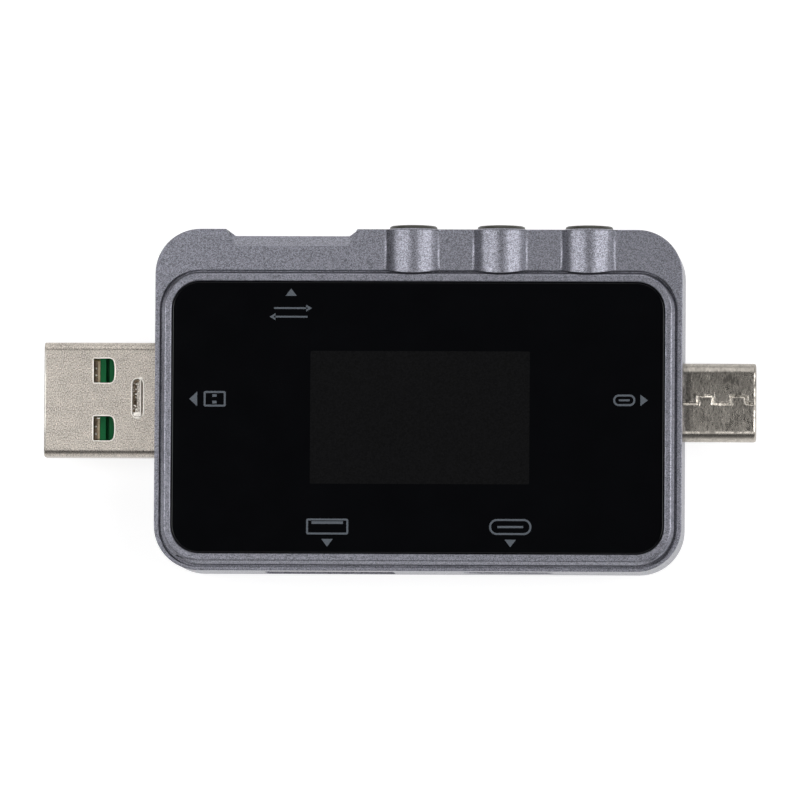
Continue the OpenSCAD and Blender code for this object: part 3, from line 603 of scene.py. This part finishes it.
def usb_c_shell():
    """The USB-C plug's shell with a rounded mouth, a slightly crowned face and its folded seam, edged with
    painted highlights.
    """
    low, high = (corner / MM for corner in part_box("usb_c_plug_shell"))
    width, height = high.y - low.y, high.z - low.z
    mid_y, mid_z = (high.y + low.y) / 2, (high.z + low.z) / 2
    corner_lift = 0.02
    radius, wall, tip, end = height / 2 - corner_lift, 0.25, high.x, low.x
    base, tab = -0.15, 0.62
    seam_reach, painted_highlight_reach, crown_drop, side_drop = 1.2, 0.055, 0.07, 0.076
    seam = [(-9.6, base)]
    for left, right in ((-6.05, -4.45), (-2.6, -1.0)):
        seam += [(left, base), (left + 0.06, tab), (right - 0.06, tab), (right, base)]
    seam.append((-0.35, base))
    wobble, width_noise, waves, ripple = (
        smooth_noise(3, 0.16), smooth_noise(5, 0.22), smooth_noise(7, 0.9), smooth_noise(9, 0.34))

    # around the section, as (y, z, outward direction): fine steps over the seam, coarser elsewhere
    flat = width / 2 - radius
    ys = [-flat + i * (flat - 0.45) / 22 for i in range(22)]
    ys += [-0.45 + i * 0.035 for i in range(41)]
    ys += [0.985 + i * (flat - 0.985) / 18 for i in range(1, 19)]
    section = [(y, height / 2, 0.0, 1.0) for y in ys]
    under_side = [(y, -height / 2, 0.0, -1.0) for y in (flat, flat / 2, 0.0, -flat / 2, -flat)]
    for side, straight in ((1, under_side), (-1, [])):
        for step in range(1, 16):
            turn = side * math.pi / 2 - math.pi * step / 16
            lift = side * (corner_lift if step < 8 else -corner_lift)
            section.append((side * flat + radius * math.cos(turn), radius * math.sin(turn) + lift,
                            math.cos(turn), math.sin(turn)))
        section += straight

    # along the plug, as (x from the tip, inward drop), ending in the rounded lip
    lip_l, lip_drop, lip_steps = 0.26, 0.2, 8
    xs = [end - tip, -9.0] + [-8.4 + i * 0.04 for i in range(204)]
    turns = [math.pi / 2 * k / lip_steps for k in range(1, lip_steps + 1)]
    lip = [(-lip_l + lip_l * math.sin(a), lip_drop * (1 - math.cos(a))) for a in turns]
    rows = [(x, 0.0) for x in xs if x < -lip_l - 0.01] + lip

    def from_crack(x, y):
        """Distance from the seam's ragged crack."""
        d = distance_to_path(x + 0.02 * wobble(x, y), y + 0.03 * wobble(y + 7, x), seam)
        return d - 0.035 - 0.075 * max(0.0, width_noise(x, y))

    def lowered(x, y):
        """Depth of the face below the shell's box: crack, its rolled-in sides, crown and waviness."""
        gap = from_crack(x, y)
        crack = 0.2 * max(0.0, min(1.0, 1 - gap / 0.03))
        rolled_in = 0.06 * math.exp(-(gap / 0.11) ** 2)
        crown = crown_drop * (y / flat) ** 2
        return crack + rolled_in + crown + 0.008 * (1 + waves(x, y)) + 0.003 * (1 + ripple(x * 2, y))

    builder = bmesh.new()
    outer, inner = [], []
    for x, drop in rows:
        ring = []
        for y, z, ny, nz in section:
            sink = drop
            if nz > 0.99:
                sink += lowered(x, y)
            elif nz > 0:
                sink += side_drop * nz
            place = Vector((tip + x, mid_y + y - ny * sink, mid_z + z - nz * sink))
            ring.append(builder.verts.new(place * MM))
        outer.append(ring)
    for x in (0.0, -0.3, end - tip):
        inner.append([builder.verts.new(Vector((tip + x, mid_y + y - ny * wall, mid_z + z - nz * wall)) * MM)
                      for y, z, ny, nz in section])
    count = len(section)
    loops = outer + inner + [outer[0]]
    for row, (first, second) in enumerate(zip(loops, loops[1:])):
        for i in range(count):
            j = (i + 1) % count
            face = builder.faces.new((first[i], first[j], second[j], second[i]))
            x, y, _ = face.calc_center_median() / MM
            on_face = row < len(rows) - lip_steps - 1 and section[i][3] > 0.99
            # painted highlight: faces just beside the seam's crack take the lighter steel
            if on_face and abs(y - mid_y) < seam_reach and waves(x * 3, y) > -0.45:
                if 0.0 < from_crack(x - tip, y - mid_y) < painted_highlight_reach:
                    face.material_index = 1
    piece = add_piece("usb_c_shell_detail", builder, "usb_c_steel", smooth=True)
    piece.data.materials.append(materials["painted_highlight_steel"])
    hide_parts("usb_c_plug_shell")


usb_c_shell()


# ---------------------------------------------------------------- marks on the panel

ink_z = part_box("screen_panel")[1].z
ink_t = 0.012 * MM
stroke = 0.2


def ink_face(builder, points):
    """Adds one flat, slightly raised shape of ink."""
    low = [builder.verts.new((x * MM, y * MM, ink_z)) for x, y in points]
    high = [builder.verts.new((x * MM, y * MM, ink_z + ink_t)) for x, y in points]
    builder.faces.new(high)
    builder.faces.new(list(reversed(low)))
    for i in range(len(points)):
        j = (i + 1) % len(points)
        builder.faces.new((low[i], low[j], high[j], high[i]))


def ink_frame(builder, centre, width, height, radius):
    """Adds the outline of a rounded rectangle, one stroke wide."""
    outer = rounded_outline(width, height, radius)
    inner = rounded_outline(width - 2 * stroke, height - 2 * stroke, max(radius - stroke, 0.02))
    count = len(outer)
    rings = {}
    for name, ring in (("outer", outer), ("inner", inner)):
        for level, z in (("low", ink_z), ("high", ink_z + ink_t)):
            rings[name, level] = [
                builder.verts.new(((centre[0] + x) * MM, (centre[1] + y) * MM, z)) for x, y in ring
            ]
    for i in range(count):
        j = (i + 1) % count
        for a, b in (
            (("outer", "low"), ("outer", "high")), (("outer", "high"), ("inner", "high")),
            (("inner", "high"), ("inner", "low")), (("inner", "low"), ("outer", "low")),
        ):
            builder.faces.new((rings[a][i], rings[a][j], rings[b][j], rings[b][i]))


def bar(x0, x1, y0, y1):
    """Rectangle between two corners."""
    return [(x0, y0), (x1, y0), (x1, y1), (x0, y1)]


def arrow_head(centre, direction, length, width):
    """Triangle whose base is at centre and whose tip points along direction."""
    dx, dy = direction
    cx, cy = centre
    side = (-dy * width / 2, dx * width / 2)
    return [(cx - side[0], cy - side[1]), (cx + dx * length, cy + dy * length), (cx + side[0], cy + side[1])]


def mark(name, draw):
    """Makes one printed mark and fixes it to the case."""
    builder = bmesh.new()
    draw(builder)
    add_piece(name, builder, "panel_print")


def usb_a_plug_mark(builder):
    """The plug's mouth, end on, and a triangle towards it."""
    ink_face(builder, arrow_head((-23.03, 0.01), (-1, 0), 0.83, 1.54))
    ink_frame(builder, (-21.2, 0.02), 2.3, 1.62, 0.18)
    for y in (0.36, -0.32):
        ink_face(builder, bar(-21.45, -21.0, y - 0.14, y + 0.14))


def usb_c_plug_mark(builder):
    """The plug's mouth, end on, and a triangle towards it."""
    ink_face(builder, arrow_head((23.23, 0.0), (1, 0), 0.78, 1.2))
    ink_frame(builder, (21.55, 0.0), 2.3, 1.2, 0.58)
    ink_face(builder, bar(20.98, 22.12, -0.1, 0.1))


def usb_a_socket_mark(builder):
    """The socket's mouth, end on, and a triangle towards it."""
    ink_face(builder, arrow_head((-9.37, -14.56), (0, -1), 0.81, 1.2))
    ink_frame(builder, (-9.36, -13.27), 4.4, 1.66, 0.2)
    ink_face(builder, bar(-11.0, -7.72, -13.0, -12.72))


def usb_c_socket_mark(builder):
    """The socket's mouth, end on, and a triangle towards it."""
    ink_face(builder, arrow_head((9.745, -14.57), (0, -1), 0.79, 1.2))
    ink_frame(builder, (9.74, -13.25), 4.4, 1.66, 0.8)
    ink_face(builder, bar(8.4, 11.08, -13.36, -13.14))


def data_port_mark(builder):
    """Two opposed arrows for data, and a triangle towards the port."""
    x = -13.3
    ink_face(builder, arrow_head((x + 0.03, 10.8), (0, 1), 0.76, 1.18))
    for y, way in ((9.52, 1), (8.62, -1)):
        ink_face(builder, bar(x - 1.75, x + 1.75, y - 0.09, y + 0.09))
        ink_face(builder, arrow_head((x + way * 1.6, y), (way, 0), 0.62, 0.72))


mark("mark_usb_a_in", usb_a_plug_mark)
mark("mark_usb_c_in", usb_c_plug_mark)
mark("mark_usb_a_out", usb_a_socket_mark)
mark("mark_usb_c_out", usb_c_socket_mark)
mark("mark_data_port", data_port_mark)


def display_area():
    """The display's active area, seen faintly through the gloss panel."""
    builder = bmesh.new()
    (centre_x, centre_y), (width, height) = (0.23, -1.87), (22.9, 13.86)
    outline = rounded_outline(width, height, 0.15, steps=4)
    ink_face(builder, [(centre_x + x, centre_y + y) for x, y in outline])
    add_piece("display_area", builder, "display_dark")


display_area()


# ---------------------------------------------------------------- studio

def floor():
    """Plain white table that stays white where the soft light falls off, just clear of the case's back."""
    half, gap = 3.0, 0.0001
    corners = [(-half, -half, 0), (half, -half, 0), (half, half, 0), (-half, half, 0)]
    mesh = bpy.data.meshes.new("floor")
    mesh.from_pydata(corners, [], [(0, 1, 2, 3)])
    plane = bpy.data.objects.new("floor", mesh)
    bpy.context.collection.objects.link(plane)
    plane.location.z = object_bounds()[0].z - gap
    mat = bpy.data.materials.new("white_table")
    mat.use_nodes = True
    bsdf = mat.node_tree.nodes["Principled BSDF"]
    bsdf.inputs["Base Color"].default_value = (0.4, 0.4, 0.4, 1)
    bsdf.inputs["Roughness"].default_value = 0.9
    bsdf.inputs["Specular IOR Level"].default_value = 0.1
    bsdf.inputs["Emission Color"].default_value = (1, 1, 1, 1)
    bsdf.inputs["Emission Strength"].default_value = 0.79
    mesh.materials.append(mat)
    plane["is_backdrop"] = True


def soft_light(name, place, size, power):
    """Rectangular soft box aimed at the middle of the meter."""
    data = bpy.data.lights.new(name, "AREA")
    data.shape = "RECTANGLE"
    data.size, data.size_y = size
    data.energy = power
    lamp = bpy.data.objects.new(name, data)
    bpy.context.collection.objects.link(lamp)
    lamp.location = place
    lamp.rotation_mode = "QUATERNION"
    lamp.rotation_quaternion = Vector(place).to_track_quat("Z", "Y")


def world():
    """Pale surroundings that darken towards the zenith, brighter at the right and the front."""
    sky = bpy.data.worlds.new("studio")
    sky.use_nodes = True
    nodes, links = sky.node_tree.nodes, sky.node_tree.links
    coords = nodes.new("ShaderNodeTexCoord")
    split = nodes.new("ShaderNodeSeparateXYZ")
    links.new(coords.outputs["Generated"], split.inputs[0])
    ramp = nodes.new("ShaderNodeValToRGB")
    links.new(split.outputs["Z"], ramp.inputs[0])
    stops = ((0.0, 0.82), (0.2, 0.42), (0.5, 0.14), (0.8, 0.04), (1.0, 0.02))
    for position, value in stops[1:-1]:
        ramp.color_ramp.elements.new(position)
    for element, (position, value) in zip(ramp.color_ramp.elements, stops):
        element.position = position
        element.color = (value, value, value, 1)
    lean = nodes.new("ShaderNodeVectorMath")
    lean.operation = "DOT_PRODUCT"
    lean.inputs[1].default_value = (0.75, -0.5, 0)
    links.new(coords.outputs["Generated"], lean.inputs[0])
    gain = nodes.new("ShaderNodeMath")
    gain.operation = "ADD"
    gain.inputs[1].default_value = 0.8
    links.new(lean.outputs["Value"], gain.inputs[0])
    links.new(ramp.outputs[0], nodes["Background"].inputs["Color"])
    links.new(gain.outputs[0], nodes["Background"].inputs["Strength"])
    bpy.context.scene.world = sky


def camera():
    """Long lens almost square to the panel, a little from the lower right."""
    data = bpy.data.cameras.new("camera")
    data.sensor_width = 36
    data.lens = 562.75
    data.clip_start, data.clip_end = 0.05, 20
    cam = bpy.data.objects.new("camera", data)
    bpy.context.collection.objects.link(cam)
    cam.location = (0.06895, -0.0649, 1.312)
    cam.rotation_euler = Euler((0.0501, 0.0541, 0.0060), "XYZ")
    bpy.context.scene.camera = cam


for old in [o for o in bpy.data.objects if o.name in ("Camera", "Light", "Cube")]:
    bpy.data.objects.remove(old)
floor()
soft_light("soft_left", (-0.43, 0.03, 0.66), (0.24, 0.7), 2.1)
soft_light("soft_right", (0.53, 0.03, 0.59), (0.34, 0.7), 2.7)
soft_light("soft_back", (0.0, 0.68, 0.476), (0.9, 0.8), 2.85)
soft_light("soft_front", (0.0, -0.26, 0.74), (0.5, 0.2), 0.5)
world()
camera()
bpy.context.scene.view_settings.view_transform = "Standard"
